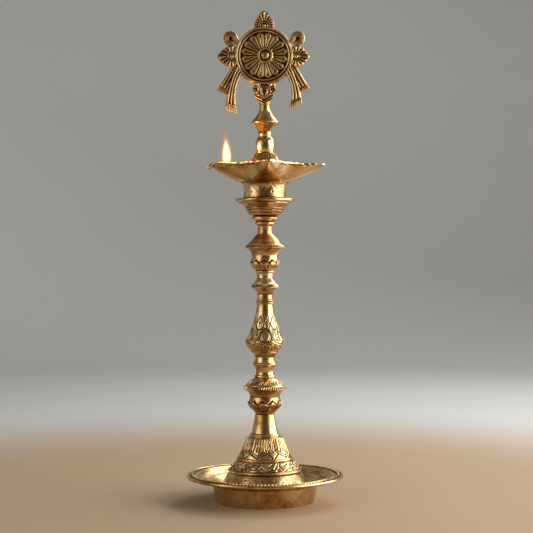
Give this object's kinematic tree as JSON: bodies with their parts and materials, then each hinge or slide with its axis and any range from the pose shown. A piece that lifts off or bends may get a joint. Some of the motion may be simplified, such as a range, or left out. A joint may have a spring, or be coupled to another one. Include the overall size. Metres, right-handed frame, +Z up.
{
  "type": "brass oil lamp",
  "caption": "Tall brass oil lamp: round drip tray, bell base, turned stem in screwed sections, bowl with pointed wick spouts, and a wheel emblem finial on top.",
  "frame": {"origin": "on the floor, on the lamp's axis, at the centre of the tray's foot ring", "axes": "+Z up along the stem, -Y the front, which the wheel emblem and the front spout face, +X to the right of someone who looks at the front"},
  "size_m": [0.157, 0.157, 0.4898],
  "materials": {
    "brass_turned": "turned and engraved, polished high places over a dark patina in the cuts",
    "brass_plain": "satin, hand-polished, with fine turning lines",
    "brass_cast": "sand-cast relief, polished on the high places, dark patina in the recesses",
    "fixings": "as machined, dull",
    "leather": "oiled washer leather, cut edge",
    "cotton": "rolled cotton, oil-soaked, charred at the lit end"
  },
  "bodies": {
    "base": {"drip_tray": "brass_plain", "base_bell": "brass_turned", "tie_rod": "fixings", "tie_washer": "fixings", "tie_nut": "fixings", "base_neck": "brass_plain"},
    "stem_seal": {"stem_washer": "leather"},
    "stem": {"lower_stem": "brass_turned", "middle_stem": "brass_turned", "upper_stem": "brass_turned", "bowl_cup": "brass_turned"},
    "bowl_seal": {"bowl_washer": "leather"},
    "bowl": {"bowl_drum": "brass_turned", "oil_bowl": "brass_plain"},
    "finial_seal": {"finial_washer": "leather"},
    "finial": {"finial_foot": "brass_turned", "finial_stem": "brass_turned", "chakra_emblem": "brass_cast"},
    "wick": {"wick": "cotton"}
  },
  "joints": [
    {"name": "stem_lift", "type": "slide", "parent": "base", "child": "stem_seal", "axis": [0, 0, 1], "range_m": [0, 0.009]},
    {"name": "stem_unscrew", "type": "hinge", "parent": "stem_seal", "child": "stem", "pos_m": [0, 0, 0.0874], "axis": [0, 0, 1], "range_deg": [0, 2160]},
    {"name": "bowl_lift", "type": "slide", "parent": "stem", "child": "bowl_seal", "axis": [0, 0, 1], "range_m": [0, 0.012]},
    {"name": "bowl_unscrew", "type": "hinge", "parent": "bowl_seal", "child": "bowl", "pos_m": [0, 0, 0.3026], "axis": [0, 0, 1], "range_deg": [0, 2160]},
    {"name": "finial_lift", "type": "slide", "parent": "bowl", "child": "finial_seal", "axis": [0, 0, 1], "range_m": [0, 0.009]},
    {"name": "finial_unscrew", "type": "hinge", "parent": "finial_seal", "child": "finial", "pos_m": [0, 0, 0.3305], "axis": [0, 0, 1], "range_deg": [0, 2160]},
    {"name": "wick_feed", "type": "slide", "parent": "bowl", "child": "wick", "axis": [-0.58, 0.6961, 0.4231], "range_m": [0, 0.01]}
  ],
  "couplings": [
    {"joint": "stem_lift", "follows": "stem_unscrew", "m_per_rad": 0.00023873},
    {"joint": "bowl_lift", "follows": "bowl_unscrew", "m_per_rad": 0.00031831},
    {"joint": "finial_lift", "follows": "finial_unscrew", "m_per_rad": 0.00023873}
  ]
}
